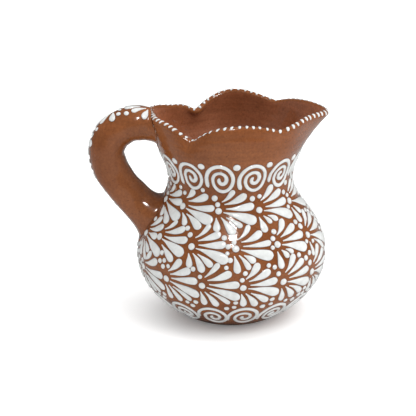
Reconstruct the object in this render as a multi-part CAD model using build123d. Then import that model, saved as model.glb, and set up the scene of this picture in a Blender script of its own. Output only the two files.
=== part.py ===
from build123d import *
import math
import os

import numpy as np

# A hand-thrown terracotta pitcher with a coil handle and trailed white slip.
# Millimetres, +Z up, +X towards the spout, the handle on -X, the foot's centre at the origin.

os.makedirs("parts", exist_ok=True)

# ---------------------------------------------------------------- driving dimensions
# Outer wall as (radius, height) from the foot to the mean line of the lip.
BODY_PROFILE = [
    (30.8, 0.0), (34.8, 2.0), (44.4, 9.0), (57.2, 22.0), (64.8, 40.0), (62.2, 60.0), (51.5, 78.0),
    (43.2, 94.0), (42.9, 102.0), (44.4, 109.0), (46.8, 114.5), (49.0, 120.0), (50.6, 126.0),
    (51.3, 133.0), (51.4, 141.75),
]
# The lobed rim, as (angle from the spout in degrees, radius, height of the lip's top).
# Each lobe runs from notch to notch, and the -Y half repeats the +Y half.
SPOUT_LOBE = [(0, 66.5, 144.0), (12, 62.4, 145.2), (28, 57.3, 145.3), (44, 55.9, 142.8), (52, 53.8, 141.3)]
SIDE_LOBE = [
    (52, 53.8, 141.3), (62, 51.0, 144.4), (84, 50.0, 146.8), (107, 49.4, 143.0), (123.5, 45.4, 135.2),
]
REAR_LOBE = [
    (123.5, 45.4, 135.2), (134, 49.2, 139.2), (148, 50.7, 142.6), (164, 53.6, 143.5), (180, 54.0, 143.5),
]
# Where the rim swells out of that symmetry: (from, to) in degrees, (extra radius, extra height).
FAR_SWELLS = [
    ((52.0, 123.5), (0.0, 2.0)), ((105.0, 150.0), (0.0, 2.7)), ((138.0, 190.0), (4.0, 0.4)),
]
NOTCH_ROUNDING = 1.6        # degrees either side over which a notch is softened
WALL = 4.5                  # clay thickness of the wall and of the lip
FLOOR = 6.0                 # clay thickness of the floor
INNER_START = 12.0          # arc length of the lowest ring of the inner wall
FLOOR_RINGS = [(35.5, 1.0), (31.5, 0.0)]    # radius, and height over the floor, of the rings below it
FLARE_START = 118.0         # height above which the round wall turns into lobes
FLARE_POWER = 1.45          # how late the wall moves out to the lobes
ROUND_SAMPLES = 90          # points round each ring of the skin

# Handle: a round coil, its centreline as (x, z), and its radius along the way.
HANDLE_PATH = [
    (-49.0, 134.6), (-54.2, 135.8), (-62.0, 136.7), (-74.0, 133.7), (-80.7, 128.1), (-84.7, 118.0),
    (-82.6, 105.7), (-76.8, 95.2), (-67.8, 84.0), (-59.5, 74.5), (-51.0, 65.5),
]
HANDLE_RADII = [10.4, 11.0, 12.0, 12.2, 12.3, 12.3, 12.2, 12.0, 12.2, 14.2, 18.0]
JOINT_SLIP = 0.6            # film of joining slip at both ends of the handle

SLIP_GAP = 0.08             # clearance between clay and slip marks
SLIP_HEIGHT = 0.9           # how far the slip marks stand proud
BEND_LEAST = 0.08           # below this rise over its length a mark is left flat
TAIL_RADIUS = 0.45          # the fine end of a teardrop
ROUND_LIFT = 0.15           # extra clearance for marks on the handle's tight round
MARK_GAP = 0.6              # least clay left showing between two marks
FILL_GAP = 0.85             # the same for the dots that fill what is left
TAIL_TOUCH = 0.25           # how much closer the fine tails may come to each other
HEART_TOUCH = 0.4           # how much closer petals may come to the dot in their middle
LONGEST_PETAL, SHORTEST_PETAL, PETAL_STEP = 1.04, 0.45, 0.06     # lengths tried for a petal, over its own
PETAL_SLIMS = (1.0, 0.88, 0.76)     # widths tried at each length, over its own

# Rows of fans on the belly: (arc length up the wall, first angle, angle step, count).
FAN_ROWS = [
    (105.0, -163.5, 0.0, 1), (107.0, -135.5, 35.0, 9), (81.0, -144.0, 28.4, 11), (78.0, -164.5, 0.0, 1),
    (55.6, -157.5, 24.85, 14),
]
HEART_RADIUS = 2.35
# One fan, opening towards +angle: (tail along, tail up, tip along, tip up, head width).
FAN_PETALS = [
    (3.2, -0.8, 24.2, -8.0, 7.0), (4.8, 1.6, 23.4, 2.6, 5.4), (3.8, 4.4, 18.4, 10.2, 5.3),
    (1.8, 6.2, 10.8, 15.8, 5.2), (5.2, -4.4, 17.2, -13.0, 5.2), (1.8, -4.2, 9.6, -15.6, 5.2),
    (-1.2, -4.6, 0.6, -15.6, 4.9), (-3.6, -3.0, -8.6, -11.6, 4.2),
]
# Loose dots kept near each heart: (along, up, radius).
FAN_DOTS = [
    (-3.4, 7.8, 2.0), (-6.4, 11.6, 1.8), (-11.0, 13.6, 1.7), (-5.4, -3.0, 1.6), (-2.0, -6.2, 1.7),
    (-4.8, -8.0, 1.8), (-7.6, -11.0, 1.6), (2.0, -10.4, 1.6), (-2.4, -13.0, 1.7),
]
# Rows of spirals: (arc length up the wall, first angle, count, half width, turns, height over width).
NECK_SCROLLS = (128.4, -125.6, 13, 11.2, 2.2, 1.12)
BASE_SCROLLS = (23.6, -128.1, 15, 12.1, 2.2, 1.15)
SCROLL_STROKE = 2.4
SCROLL_START = 205.0        # degrees at which a spiral starts, low on its left
SCROLL_SHRINK = 0.88        # how much of its size a spiral loses on the way in
SCROLL_STEPS = 30           # points along a spiral's edge
SCROLL_MIDDLE = 0.6         # share of a spiral's half width kept clear round its middle
PRISM_DEPTH = 12.0          # length of the stout prism that cuts a spiral from its layer
# Rows of dots: (arc length up the wall, first angle, count, radius).
NECK_DOTS = (139.8, -141.0, 13, 2.4)
BASE_DOTS = (36.6, -117.0, 15, 1.9)
DOT_TOUCH = -0.6            # how far the rows of dots may lean into the spirals' own circles
FILL_DOT_RADIUS = 1.75
FILL_FROM, FILL_TO, FILL_STEP = 38.0, 122.5, 1.5    # arc lengths tried for the fill dots
# Where the handle leaves the belly, kept free of marks: (arc length up the wall, radius).
JOINT_KEEP_OUT = [(74.0, 17.0), (84.0, 17.0), (94.0, 15.0), (103.0, 13.0)]

RIM_DASH_PITCH = 4.7
RIM_DASH_WIDTH = 1.9
RIM_DASH_ARC = (40.0, 103.0, 156.0)     # degrees round the lip, inside to outside, that a dash covers
RIM_DASH_HEIGHT = 0.6
RIM_DASH_LIFT = 0.2         # clearance between a dash and the lip

# Marks on the handle, in groups either side of its outer line: distances along the coil and across it.
HANDLE_GROUP_STEP = 25.0
HANDLE_GROUPS = 5
HANDLE_DRIFT = 0.12         # how fast the marks drift to the far side on the way down
HANDLE_DRIFT_START = 14.0
HANDLE_PETALS = [(15.0, 2.0, 25.8, 3.6, 3.4), (10.6, 3.0, 20.6, 8.0, 4.0), (9.2, 4.0, 12.2, 12.2, 4.9)]
HANDLE_DOTS = [(24.9, 8.9, 1.7), (30.4, 8.0, 1.6), (29.1, 3.6, 1.4)]

DOT_LIFT = 0.1              # clearance under the flat base of a dot
DOT_SHOULDER = (0.86, 0.68)     # a point on a dot's rounded edge, over its radius and height
DOT_FLAT = 0.55             # radius of a dot's flat top over its own radius
HEAD_SHARE = 0.35           # a teardrop's head radius is at most this much of its length
SPARE = 1.0                 # how far a cutting shape reaches past what it cuts
PLUG_TOP = 170.0            # height the filled-in outside is carried up to
RANDOM = np.random.default_rng(11)


# ---------------------------------------------------------------- curves
def spline_points(points, count):
    """Natural cubic spline through the points, by chord length, as evenly spread points."""
    points = np.array(points, float)
    knots = np.r_[0, np.cumsum(np.linalg.norm(np.diff(points, axis=0), axis=1))]
    steps = np.diff(knots)[:, None]
    slopes = np.diff(points, axis=0) / steps
    size = len(points)
    matrix = np.eye(size)
    right = np.zeros_like(points)
    for i in range(1, size - 1):
        matrix[i, i - 1:i + 2] = steps[i - 1, 0], 2 * (steps[i - 1, 0] + steps[i, 0]), steps[i, 0]
        right[i] = 6 * (slopes[i] - slopes[i - 1])
    bend = np.linalg.solve(matrix, right)
    at = np.linspace(0, knots[-1], count)
    piece = np.clip(np.searchsorted(knots, at, "right") - 1, 0, size - 2)
    step = steps[piece]
    before = (knots[piece + 1] - at)[:, None]
    after = (at - knots[piece])[:, None]
    ends = points[piece] / step - bend[piece] * step / 6
    starts = points[piece + 1] / step - bend[piece + 1] * step / 6
    cubic = (bend[piece] * before ** 3 + bend[piece + 1] * after ** 3) / (6 * step)
    return cubic + ends * before + starts * after


PROFILE = spline_points(BODY_PROFILE, 2000)
ARC = np.r_[0, np.cumsum(np.linalg.norm(np.diff(PROFILE, axis=0), axis=1))]


def wall_at(arc):
    """Radius and height of the round wall at an arc length above the foot's edge."""
    return np.interp(arc, ARC, PROFILE[:, 0]), np.interp(arc, ARC, PROFILE[:, 1])


def rim_curve():
    """Radius and lip height for whole degrees round the rim, with softened notches."""
    rows = []
    for lobe in (SPOUT_LOBE, SIDE_LOBE, REAR_LOBE):
        whole = lobe
        if lobe is SPOUT_LOBE:
            whole = [(-a, r, z) for a, r, z in lobe[:0:-1]] + lobe
        if lobe is REAR_LOBE:
            whole = lobe + [(360 - a, r, z) for a, r, z in lobe[-2::-1]]
        curve = spline_points(whole, 200)
        rows.append(curve[(curve[:, 0] >= 0) & (curve[:, 0] <= 180)])
    rows = np.vstack(rows)
    degrees = np.arange(0, 360)
    folded = np.minimum(degrees, 360 - degrees)
    table = np.column_stack([np.interp(folded, rows[:, 0], rows[:, k]) for k in (1, 2)])
    for (start, end), swell in FAR_SWELLS:
        along = np.clip((degrees - start) / (end - start), 0, 1)
        table += np.outer(np.sin(math.pi * along) ** 2, swell)
    offsets = np.arange(-5, 6)
    weights = np.exp(-0.5 * (offsets / NOTCH_ROUNDING) ** 2)
    weights /= weights.sum()
    return sum(w * np.roll(table, k, axis=0) for w, k in zip(weights, offsets))


RIM = rim_curve()
LIP_RADIUS = WALL / 2
LIP_BASE = BODY_PROFILE[-1][1]      # height of the mean line where the lip's round starts
RIM_MEAN_RADIUS = BODY_PROFILE[-1][0]


def rim_at(angle):
    degrees = np.degrees(angle) % 360
    table = np.vstack([RIM, RIM[:1]])
    return [np.interp(degrees, np.arange(361), table[:, k]) for k in (0, 1)]


def skin(angle, arc):
    """Point on the outer wall: round below the flare, drawn out to the lobes above it."""
    radius, height = wall_at(arc)
    rise = np.clip((height - FLARE_START) / (LIP_BASE - FLARE_START), 0, 1)
    pull = rise ** FLARE_POWER
    rim_radius, rim_top = rim_at(angle)
    radius = radius + (rim_radius - RIM_MEAN_RADIUS) * pull
    height = height + (rim_top - LIP_RADIUS - LIP_BASE) * pull
    return np.array([radius * np.cos(angle), radius * np.sin(angle), height])


def unit(vector):
    return vector / np.linalg.norm(vector)


def skin_frame(angle, arc):
    """Point, outward normal and upward tangent of the outer wall."""
    small = 1e-3
    arc = min(arc, ARC[-1] - small)
    across = skin(angle + small, arc) - skin(angle - small, arc)
    up = unit(skin(angle, arc + small) - skin(angle, arc - small))
    return skin(angle, arc), unit(np.cross(across, up)), up


# ---------------------------------------------------------------- body
def ring(angle_points):
    """Closed smooth wire through points."""
    return Wire([Edge.make_spline([Vector(*p) for p in angle_points], periodic=True)])


ANGLES = np.linspace(0, 2 * math.pi, ROUND_SAMPLES, endpoint=False)


def skin_ring(arc, outward, angles=ANGLES):
    frames = [skin_frame(angle, arc) for angle in angles]
    return ring([point + outward * normal for point, normal, _ in frames])


def lip_ring(turn):
    """Ring on the lip's half-round, turn = 0 on the outside to pi on the inside."""
    points = []
    for angle in ANGLES:
        point, normal, up = skin_frame(angle, ARC[-1])
        centre = point - LIP_RADIUS * normal
        points.append(centre + LIP_RADIUS * (math.cos(turn) * normal + math.sin(turn) * up))
    return ring(points)


def flat_ring(radius, height):
    return ring([(radius * math.cos(a), radius * math.sin(a), height) for a in ANGLES])


OUTER_ARCS = [2.6, 6.0, 12.0, 20.0, 30.0, 42.0, 55.0, 68.0, 80.0, 92.0, 103.0, 112.0, 120.0, 128.0, 135.0,
              141.0, 146.0, 151.0, 156.0, float(ARC[-1])]


def make_body():
    """One skin: foot, outer wall, over the lip, inner wall, floor."""
    rings = [flat_ring(BODY_PROFILE[0][0], 0)]
    rings += [skin_ring(arc, 0) for arc in OUTER_ARCS]
    rings += [lip_ring(math.radians(turn)) for turn in (45, 90, 135)]
    inner_arcs = [arc for arc in OUTER_ARCS[::-1] if arc >= INNER_START]
    rings += [skin_ring(arc, -WALL) for arc in inner_arcs]
    rings += [flat_ring(radius, FLOOR + rise) for radius, rise in FLOOR_RINGS]
    return Solid.make_loft(rings)


def make_plug(outward):
    """The pitcher's outside filled solid and carried straight up past the rim."""
    angles = ANGLES[::2]
    rings = [flat_ring(BODY_PROFILE[0][0], 0)]
    rings += [skin_ring(arc, outward, angles) for arc in OUTER_ARCS]
    frames = [skin_frame(angle, ARC[-1]) for angle in angles]
    edge = [point + outward * normal for point, normal, _ in frames]
    rings.append(ring([(x, y, PLUG_TOP) for x, y, _ in edge]))
    return Solid.make_loft(rings)


# ---------------------------------------------------------------- handle
COIL = np.insert(spline_points(HANDLE_PATH, 600), 1, 0, axis=1)
COIL_FORWARD = np.gradient(COIL, axis=0)
COIL_FORWARD /= np.linalg.norm(COIL_FORWARD, axis=1)[:, None]
COIL_OUTWARD = np.cross([0, 1.0, 0], COIL_FORWARD)
COIL_KNOTS = [int(np.argmin(np.linalg.norm(COIL[:, [0, 2]] - p, axis=1))) for p in np.array(HANDLE_PATH)]
COIL_RADIUS = np.interp(np.arange(len(COIL)), COIL_KNOTS, HANDLE_RADII)
SPINE = COIL + COIL_RADIUS[:, None] * COIL_OUTWARD      # the outermost line of the handle
SPINE_ARC = np.r_[0, np.cumsum(np.linalg.norm(np.diff(SPINE, axis=0), axis=1))]


def make_coil(grow):
    """The handle's coil, its ends still running into the wall, grown by a clearance."""
    sections = []
    for knot in COIL_KNOTS:
        plane = Plane(origin=Vector(*COIL[knot]), x_dir=Vector(*COIL_OUTWARD[knot]),
                      z_dir=Vector(*COIL_FORWARD[knot]))
        sections.append(Wire([Edge.make_circle(COIL_RADIUS[knot] + grow, plane)]))
    return Solid.make_loft(sections)


def coil_surface(along, across, side):
    """Point and normal on the handle: along its outer line, and across to one side of the marks' middle."""
    here = int(np.searchsorted(SPINE_ARC, along))
    drift = HANDLE_DRIFT * max(along - HANDLE_DRIFT_START, 0)
    turn = (side * across + drift) / COIL_RADIUS[here]
    normal = math.cos(turn) * COIL_OUTWARD[here] + math.sin(turn) * np.array([0, 1.0, 0])
    return COIL[here] + COIL_RADIUS[here] * normal, normal


# ---------------------------------------------------------------- slip marks
def teardrop(tail, middle, tip, normal, width):
    """A teardrop of slip, bent to the curve that runs tail, middle, tip over the clay."""
    chord = tip - tail
    length = float(np.linalg.norm(chord))
    along = chord / length
    normal = unit(normal - along * np.dot(normal, along))
    rise = float(np.dot(middle - (tail + tip) / 2, normal))
    base = middle + SLIP_GAP * normal
    if rise < BEND_LEAST:
        base = base + abs(rise) * normal
    plane = Plane(origin=Vector(*base), x_dir=Vector(*along), z_dir=Vector(*normal))
    radius = min(width / 2, length * HEAD_SHARE)
    centre = length / 2 - radius
    lean = math.asin((radius - TAIL_RADIUS) / (length - radius - TAIL_RADIUS))
    side = (centre - radius * math.sin(lean), radius * math.cos(lean))
    narrow = (TAIL_RADIUS - length / 2 - TAIL_RADIUS * math.sin(lean), TAIL_RADIUS * math.cos(lean))
    outline = Wire([
        Edge.make_three_point_arc((side[0], side[1]), (length / 2, 0), (side[0], -side[1])),
        Edge.make_line((side[0], -side[1]), (narrow[0], -narrow[1])),
        Edge.make_three_point_arc((narrow[0], -narrow[1]), (-length / 2, 0), (narrow[0], narrow[1])),
        Edge.make_line((narrow[0], narrow[1]), (side[0], side[1])),
    ])
    if rise < BEND_LEAST:
        flat = Solid.extrude(Face(outline), Vector(0, 0, SLIP_HEIGHT))
        return flat.moved(plane.location)
    bend = length ** 2 / (8 * rise) + rise / 2
    deep = rise + SPARE
    prism = Solid.extrude(Face(outline), Vector(0, 0, deep + SLIP_HEIGHT + SPARE)).moved(
        Location((0, 0, -deep)))
    shell = prism & Solid.make_sphere(bend + SLIP_HEIGHT).moved(Location((0, 0, -bend)))
    shell = shell - Solid.make_sphere(bend).moved(Location((0, 0, -bend)))
    return solid_of(shell).moved(plane.location)


def spiral_edges(radius, turns, squash):
    """Outer and inner edge of a spiral ribbon that starts low on its left and winds in over its top."""
    half = SCROLL_STROKE / 2
    edges = []
    for side in (half, -half):
        line = []
        for part in np.linspace(0, 1, SCROLL_STEPS):
            middle = (radius - half) * (1 - SCROLL_SHRINK * part)
            heading = math.radians(SCROLL_START) - turns * 2 * math.pi * part
            line.append(((middle + side) * math.cos(heading),
                         (squash * middle + side) * math.sin(heading)))
        edges.append(line)
    return edges


def spiral_prism(centre, normal, up, edges):
    """The spiral ribbon as a stout prism through the wall's surface."""
    outer, inner = edges
    right = np.cross(up, normal)
    plane = Plane(origin=Vector(*centre), x_dir=Vector(*right), z_dir=Vector(*normal))
    outline = Wire([
        Edge.make_spline([Vector(*p) for p in outer]), Edge.make_line(outer[-1], inner[-1]),
        Edge.make_spline([Vector(*p) for p in inner[::-1]]), Edge.make_line(inner[0], outer[0]),
    ])
    return Solid.extrude(Face(plane.from_local_coords(outline)), plane.z_dir * PRISM_DEPTH).moved(
        Location(plane.z_dir * (-PRISM_DEPTH / 2)))


def dot(point, normal, radius):
    """A low dome of slip whose flat base just clears the clay."""
    plane = Plane(origin=Vector(*(point + DOT_LIFT * normal)), z_dir=Vector(*normal))
    height = SLIP_HEIGHT
    shoulder = radius * DOT_FLAT
    edge_out, edge_up = DOT_SHOULDER
    section = Wire([
        Edge.make_line((0, 0, 0), (radius, 0, 0)),
        Edge.make_three_point_arc(
            (radius, 0, 0), (radius * edge_out, 0, height * edge_up), (shoulder, 0, height)),
        Edge.make_line((shoulder, 0, height), (0, 0, height)),
        Edge.make_line((0, 0, height), (0, 0, 0)),
    ])
    dome = Solid.revolve(Face(section), 360, Axis.Z)
    return dome.moved(plane.location)


def wall_layer(low_arc, high_arc):
    """Thin revolved layer of slip over the round part of the wall, its section two arcs."""
    lines = []
    for outward in (SLIP_GAP, SLIP_GAP + SLIP_HEIGHT):
        points = []
        for arc in (low_arc, (low_arc + high_arc) / 2, high_arc):
            point, normal, _ = skin_frame(0.0, arc)
            points.append(Vector(*(point + outward * normal)))
        lines.append(points)
    inner, outer = lines
    section = Wire([
        Edge.make_three_point_arc(*inner), Edge.make_line(inner[-1], outer[-1]),
        Edge.make_three_point_arc(*outer[::-1]), Edge.make_line(outer[0], inner[0]),
    ])
    return Solid.revolve(Face(section), 360, Axis.Z)


class Layout:
    """Places marks on the wall one after another and keeps clay showing between them."""

    def __init__(self):
        self.points = np.zeros((0, 3))
        self.radii = np.zeros(0)

    def clear(self, points, radii, gap=MARK_GAP):
        if not len(self.radii):
            return True
        apart = np.linalg.norm(self.points[None] - points[:, None], axis=2)
        return bool((apart - self.radii[None] - radii[:, None]).min() > gap)

    def add(self, points, radii):
        self.points = np.vstack([self.points, points])
        self.radii = np.r_[self.radii, radii]


def on_wall(angle_degrees, arc):
    return skin(math.radians(angle_degrees), arc)


def place_round(layout, angle_degrees, arc, radius, gap=MARK_GAP):
    points = np.array([on_wall(angle_degrees, arc)])
    if not layout.clear(points, np.array([radius]), gap):
        return False
    layout.add(points, np.array([radius]))
    return True


def fan_point(row_arc, angle_degrees, along, up):
    radius, _ = wall_at(row_arc + up / 2)
    return angle_degrees + math.degrees(along / radius), row_arc + up


def place_petal(layout, row_arc, angle_degrees, petal):
    """Slim and then shorten a petal until it is clear, or give it up."""
    tail_along, tail_up, tip_along, tip_up, width = petal
    for length in np.arange(LONGEST_PETAL, SHORTEST_PETAL, -PETAL_STEP):
        along = tail_along + (tip_along - tail_along) * length
        up = tail_up + (tip_up - tail_up) * length
        size = math.hypot(along - tail_along, up - tail_up)
        for slim in PETAL_SLIMS:
            head_radius = min(width / 2 * slim, size * HEAD_SHARE)
            places, radii = [], []
            for part in np.linspace(0, 1, 9):
                reach = part * (size - head_radius) / size
                spot = fan_point(row_arc, angle_degrees, tail_along + (along - tail_along) * reach,
                                 tail_up + (up - tail_up) * reach)
                places.append(on_wall(*spot))
                radii.append(TAIL_RADIUS + (head_radius - TAIL_RADIUS) * part - TAIL_TOUCH * (1 - part))
            if layout.clear(np.array(places), np.array(radii)):
                layout.add(np.array(places), np.array(radii))
                tail = fan_point(row_arc, angle_degrees, tail_along, tail_up)
                tip = fan_point(row_arc, angle_degrees, along, up)
                return tail, tip, 2 * head_radius
    return None


def plan_scrolls(layout, rows):
    """Even rows of spirals, whose strokes and middles are then kept clear of other marks."""
    row_arc, first, count, radius, turns, squash = rows
    outer, inner = np.array(spiral_edges(radius, turns, squash))
    spots = []
    for k in range(count):
        angle = first + 360 / count * k
        for across, up in (outer + inner) / 2:
            spot = fan_point(row_arc, angle, across, up)
            layout.add(np.array([on_wall(*spot)]), np.array([SCROLL_STROKE / 2]))
        layout.add(np.array([on_wall(angle, row_arc)]), np.array([radius * SCROLL_MIDDLE]))
        spots.append((angle, row_arc))
    return spots


def plan_loose_dots(layout, fans):
    """Dots near each heart, then dots wherever there is still room."""
    spots = []
    for along, up, radius in FAN_DOTS:
        for arc, angle in fans:
            spot = fan_point(arc, angle, along, up)
            if place_round(layout, *spot, radius):
                spots.append((*spot, radius))
    left = []
    for arc in np.arange(FILL_FROM, FILL_TO, FILL_STEP):
        radius, _ = wall_at(arc)
        left += [(angle, arc) for angle in np.arange(-180, 180, math.degrees(FILL_STEP / radius))]
    for angle, arc in RANDOM.permutation(left):
        if place_round(layout, angle, arc, FILL_DOT_RADIUS, FILL_GAP):
            spots.append((angle, arc, FILL_DOT_RADIUS))
    return spots


def plan_decoration():
    """Every mark on the wall, as angles in degrees and arc lengths up the wall."""
    layout = Layout()
    plan = {"neck_dots": [], "base_dots": [], "belly_hearts": [], "belly_petals": []}
    for arc, radius in JOINT_KEEP_OUT:
        layout.add(np.array([on_wall(180, arc)]), np.array([radius]))
    plan["neck_scrolls"] = plan_scrolls(layout, NECK_SCROLLS)
    plan["base_scrolls"] = plan_scrolls(layout, BASE_SCROLLS)
    for name, (arc, first, count, radius) in (("neck_dots", NECK_DOTS), ("base_dots", BASE_DOTS)):
        for k in range(count):
            angle = first + 360 / count * k
            if place_round(layout, angle, arc, radius, DOT_TOUCH):
                plan[name].append((angle, arc, radius))
    fans = []
    for arc, first, step, count in FAN_ROWS:
        for k in range(count):
            if place_round(layout, first + step * k, arc, HEART_RADIUS - HEART_TOUCH):
                fans.append((arc, first + step * k))
                plan["belly_hearts"].append((first + step * k, arc, HEART_RADIUS))
    for petal in FAN_PETALS:
        for arc, angle in fans:
            placed = place_petal(layout, arc, angle, petal)
            if placed:
                plan["belly_petals"].append(placed)
    plan["belly_dots"] = plan_loose_dots(layout, fans)
    return plan


def make_dots(spots):
    solids = []
    for angle, arc, radius in spots:
        point, normal, _ = skin_frame(math.radians(angle), arc)
        solids.append(dot(point, normal, radius))
    return solids


def make_petals(petals):
    solids = []
    for tail_spot, tip_spot, width in petals:
        middle_spot = (np.array(tail_spot) + np.array(tip_spot)) / 2
        middle, normal, _ = skin_frame(math.radians(middle_spot[0]), middle_spot[1])
        solids.append(teardrop(on_wall(*tail_spot), middle, on_wall(*tip_spot), normal, width))
    return solids


def solid_of(shape):
    """The largest solid of a boolean's result."""
    return max(shape.solids(), key=lambda s: s.volume)


def make_scrolls(spots, radius, turns, squash):
    """One spiral cut from the layer, then copied round the pot."""
    angle, arc = spots[0]
    edges = spiral_edges(radius, turns, squash)
    heights = [up for _, up in edges[0]]
    layer = wall_layer(arc + min(heights) - SPARE, arc + max(heights) + SPARE)
    point, normal, up = skin_frame(math.radians(angle), arc)
    first = solid_of(spiral_prism(point, normal, up, edges) & layer)
    return [first.rotate(Axis.Z, spot[0] - angle) for spot in spots]


def make_rim_dashes():
    """Short strokes that wrap the lip, square to the rim."""
    fine = np.linspace(0, 2 * math.pi, 1441)
    crest = []
    for angle in fine:
        point, normal, up = skin_frame(angle, ARC[-1])
        crest.append(point - LIP_RADIUS * normal + LIP_RADIUS * up)
    crest = np.array(crest)
    length = np.r_[0, np.cumsum(np.linalg.norm(np.diff(crest, axis=0), axis=1))]
    count = int(length[-1] / RIM_DASH_PITCH)
    solids = []
    for k in range(count):
        here = np.interp((k + 0.5) * length[-1] / count, length, fine)
        point, normal, up = skin_frame(here, ARC[-1])
        centre = point - LIP_RADIUS * normal
        along = unit(np.cross(normal, up))
        plane = Plane(origin=Vector(*centre), x_dir=Vector(*normal), z_dir=Vector(*along))
        inner_radius = LIP_RADIUS + RIM_DASH_LIFT
        outer_radius = inner_radius + RIM_DASH_HEIGHT
        ends = [math.pi - math.radians(turn) for turn in RIM_DASH_ARC]
        low = [(inner_radius * math.cos(t), inner_radius * math.sin(t)) for t in ends]
        high = [(outer_radius * math.cos(t), outer_radius * math.sin(t)) for t in ends]
        outline = Wire([
            Edge.make_three_point_arc(*low), Edge.make_line(low[-1], high[-1]),
            Edge.make_three_point_arc(*high[::-1]), Edge.make_line(high[0], low[0]),
        ])
        dash = Solid.extrude(Face(plane.from_local_coords(outline)), plane.z_dir * RIM_DASH_WIDTH)
        solids.append(dash.moved(Location(plane.z_dir * (-RIM_DASH_WIDTH / 2))))
    return solids


def make_handle_marks():
    petals, dots = [], []
    for group in range(HANDLE_GROUPS):
        start = HANDLE_GROUP_STEP * group
        for side in (1, -1):
            for tail_along, tail_across, tip_along, tip_across, width in HANDLE_PETALS:
                tail, _ = coil_surface(start + tail_along, tail_across, side)
                tip, _ = coil_surface(start + tip_along, tip_across, side)
                middle, normal = coil_surface(start + (tail_along + tip_along) / 2,
                                              (tail_across + tip_across) / 2, side)
                lift = ROUND_LIFT * normal
                petals.append(teardrop(tail + lift, middle + lift, tip + lift, normal, width))
            for along, across, radius in HANDLE_DOTS:
                point, normal = coil_surface(start + along, across, side)
                dots.append(dot(point + ROUND_LIFT * normal, normal, radius))
    return petals, dots


# ---------------------------------------------------------------- assembly
def write(name, solids):
    shape = solids[0] if len(solids) == 1 else Compound(children=list(solids))
    shape.label = name
    export_step(shape, os.path.join("parts", name + ".step"))


def build():
    clay_surface = make_plug(0)
    slip_surface = make_plug(JOINT_SLIP)
    coil = make_coil(0)
    write("body", [make_body()])
    write("handle", [solid_of(coil - slip_surface)])
    films = sorted(((coil & slip_surface) - clay_surface).solids(), key=lambda s: s.center().Z)
    write("lower_joint_slip", [films[0]])
    write("upper_joint_slip", [films[-1]])

    plan = plan_decoration()
    write("neck_scrolls", make_scrolls(plan["neck_scrolls"], *NECK_SCROLLS[3:]))
    write("base_scrolls", make_scrolls(plan["base_scrolls"], *BASE_SCROLLS[3:]))
    for name in ("neck_dots", "base_dots", "belly_hearts", "belly_dots"):
        write(name, make_dots(plan[name]))
    write("belly_petals", make_petals(plan["belly_petals"]))
    write("rim_dashes", make_rim_dashes())
    petals, dots = make_handle_marks()
    write("handle_petals", petals)
    write("handle_dots", dots)


build()
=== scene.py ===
import math

import bmesh
import bpy
import mathutils
import numpy as np
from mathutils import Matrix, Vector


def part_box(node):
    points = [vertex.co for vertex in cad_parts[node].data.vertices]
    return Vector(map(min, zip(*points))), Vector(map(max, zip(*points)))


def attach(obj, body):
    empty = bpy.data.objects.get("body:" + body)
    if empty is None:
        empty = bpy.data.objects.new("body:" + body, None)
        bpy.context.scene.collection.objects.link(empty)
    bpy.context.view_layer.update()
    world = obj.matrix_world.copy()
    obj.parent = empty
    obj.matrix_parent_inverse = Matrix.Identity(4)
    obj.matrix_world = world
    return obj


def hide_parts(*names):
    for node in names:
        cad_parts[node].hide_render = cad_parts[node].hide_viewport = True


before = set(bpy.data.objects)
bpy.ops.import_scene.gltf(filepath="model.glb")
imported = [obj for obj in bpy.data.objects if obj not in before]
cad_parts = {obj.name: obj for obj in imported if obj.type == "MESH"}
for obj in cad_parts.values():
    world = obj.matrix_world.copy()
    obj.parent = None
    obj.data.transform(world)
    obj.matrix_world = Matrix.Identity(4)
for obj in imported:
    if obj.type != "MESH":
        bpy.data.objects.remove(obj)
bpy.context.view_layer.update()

# A hand-thrown terracotta pitcher: body, coil handle, joining slip, and marks of trailed white slip.
# It is drawn in millimetres, foot on the floor and +X to the spout, and scaled to the CAD body's height.
# A place on the wall is an angle round the pot, 0 at the spout, and an arc: the distance up the wall.

# ---------------------------------------------------------------- driving dimensions
BODY_HEIGHT = 148.6
# Outer wall from the foot up to the lip: (radius, height).
BODY_PROFILE = [
    (30.8, 0.0), (34.8, 2.0), (44.4, 9.0), (57.2, 22.0), (64.8, 40.0), (62.2, 60.0), (51.5, 78.0),
    (43.2, 94.0), (42.9, 102.0), (44.4, 109.0), (46.8, 114.5), (49.0, 120.0), (50.6, 126.0),
    (51.3, 133.0), (51.4, 141.75),
]
# Lobes of the lip from the spout round to the back: (degrees, radius, height of the lip's top).
SPOUT_LOBE = [(0, 66.5, 144.0), (12, 62.4, 145.2), (28, 57.3, 145.3), (44, 55.9, 142.8), (52, 53.8, 141.3)]
SIDE_LOBE = [
    (52, 53.8, 141.3), (62, 51.0, 144.4), (84, 50.0, 146.8), (107, 49.4, 143.0), (123.5, 45.4, 135.2),
]
REAR_LOBE = [
    (123.5, 45.4, 135.2), (134, 49.2, 139.2), (148, 50.7, 142.6), (164, 53.6, 143.5), (180, 54.0, 143.5),
]
# Where the rim swells out of that symmetry: (from, to) in degrees, (extra radius, extra height).
FAR_SWELLS = [
    ((52.0, 123.5), (0.0, 2.0)), ((105.0, 150.0), (0.0, 2.7)), ((138.0, 190.0), (4.0, 0.4)),
]
NOTCH_ROUNDING = 1.3        # degrees over which the notches between lobes are softened
RIM_STEP = 0.5              # degrees between the rim's samples
WALL = 4.5
FLOOR = 6.0
FLARE_START = 118.0         # height above which the wall is drawn out to the lobes
FLARE_POWER = 1.45
LIP_RADIUS = WALL / 2
RIM_MEAN_RADIUS = BODY_PROFILE[-1][0]
LIP_BASE = BODY_PROFILE[-1][1]

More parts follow.
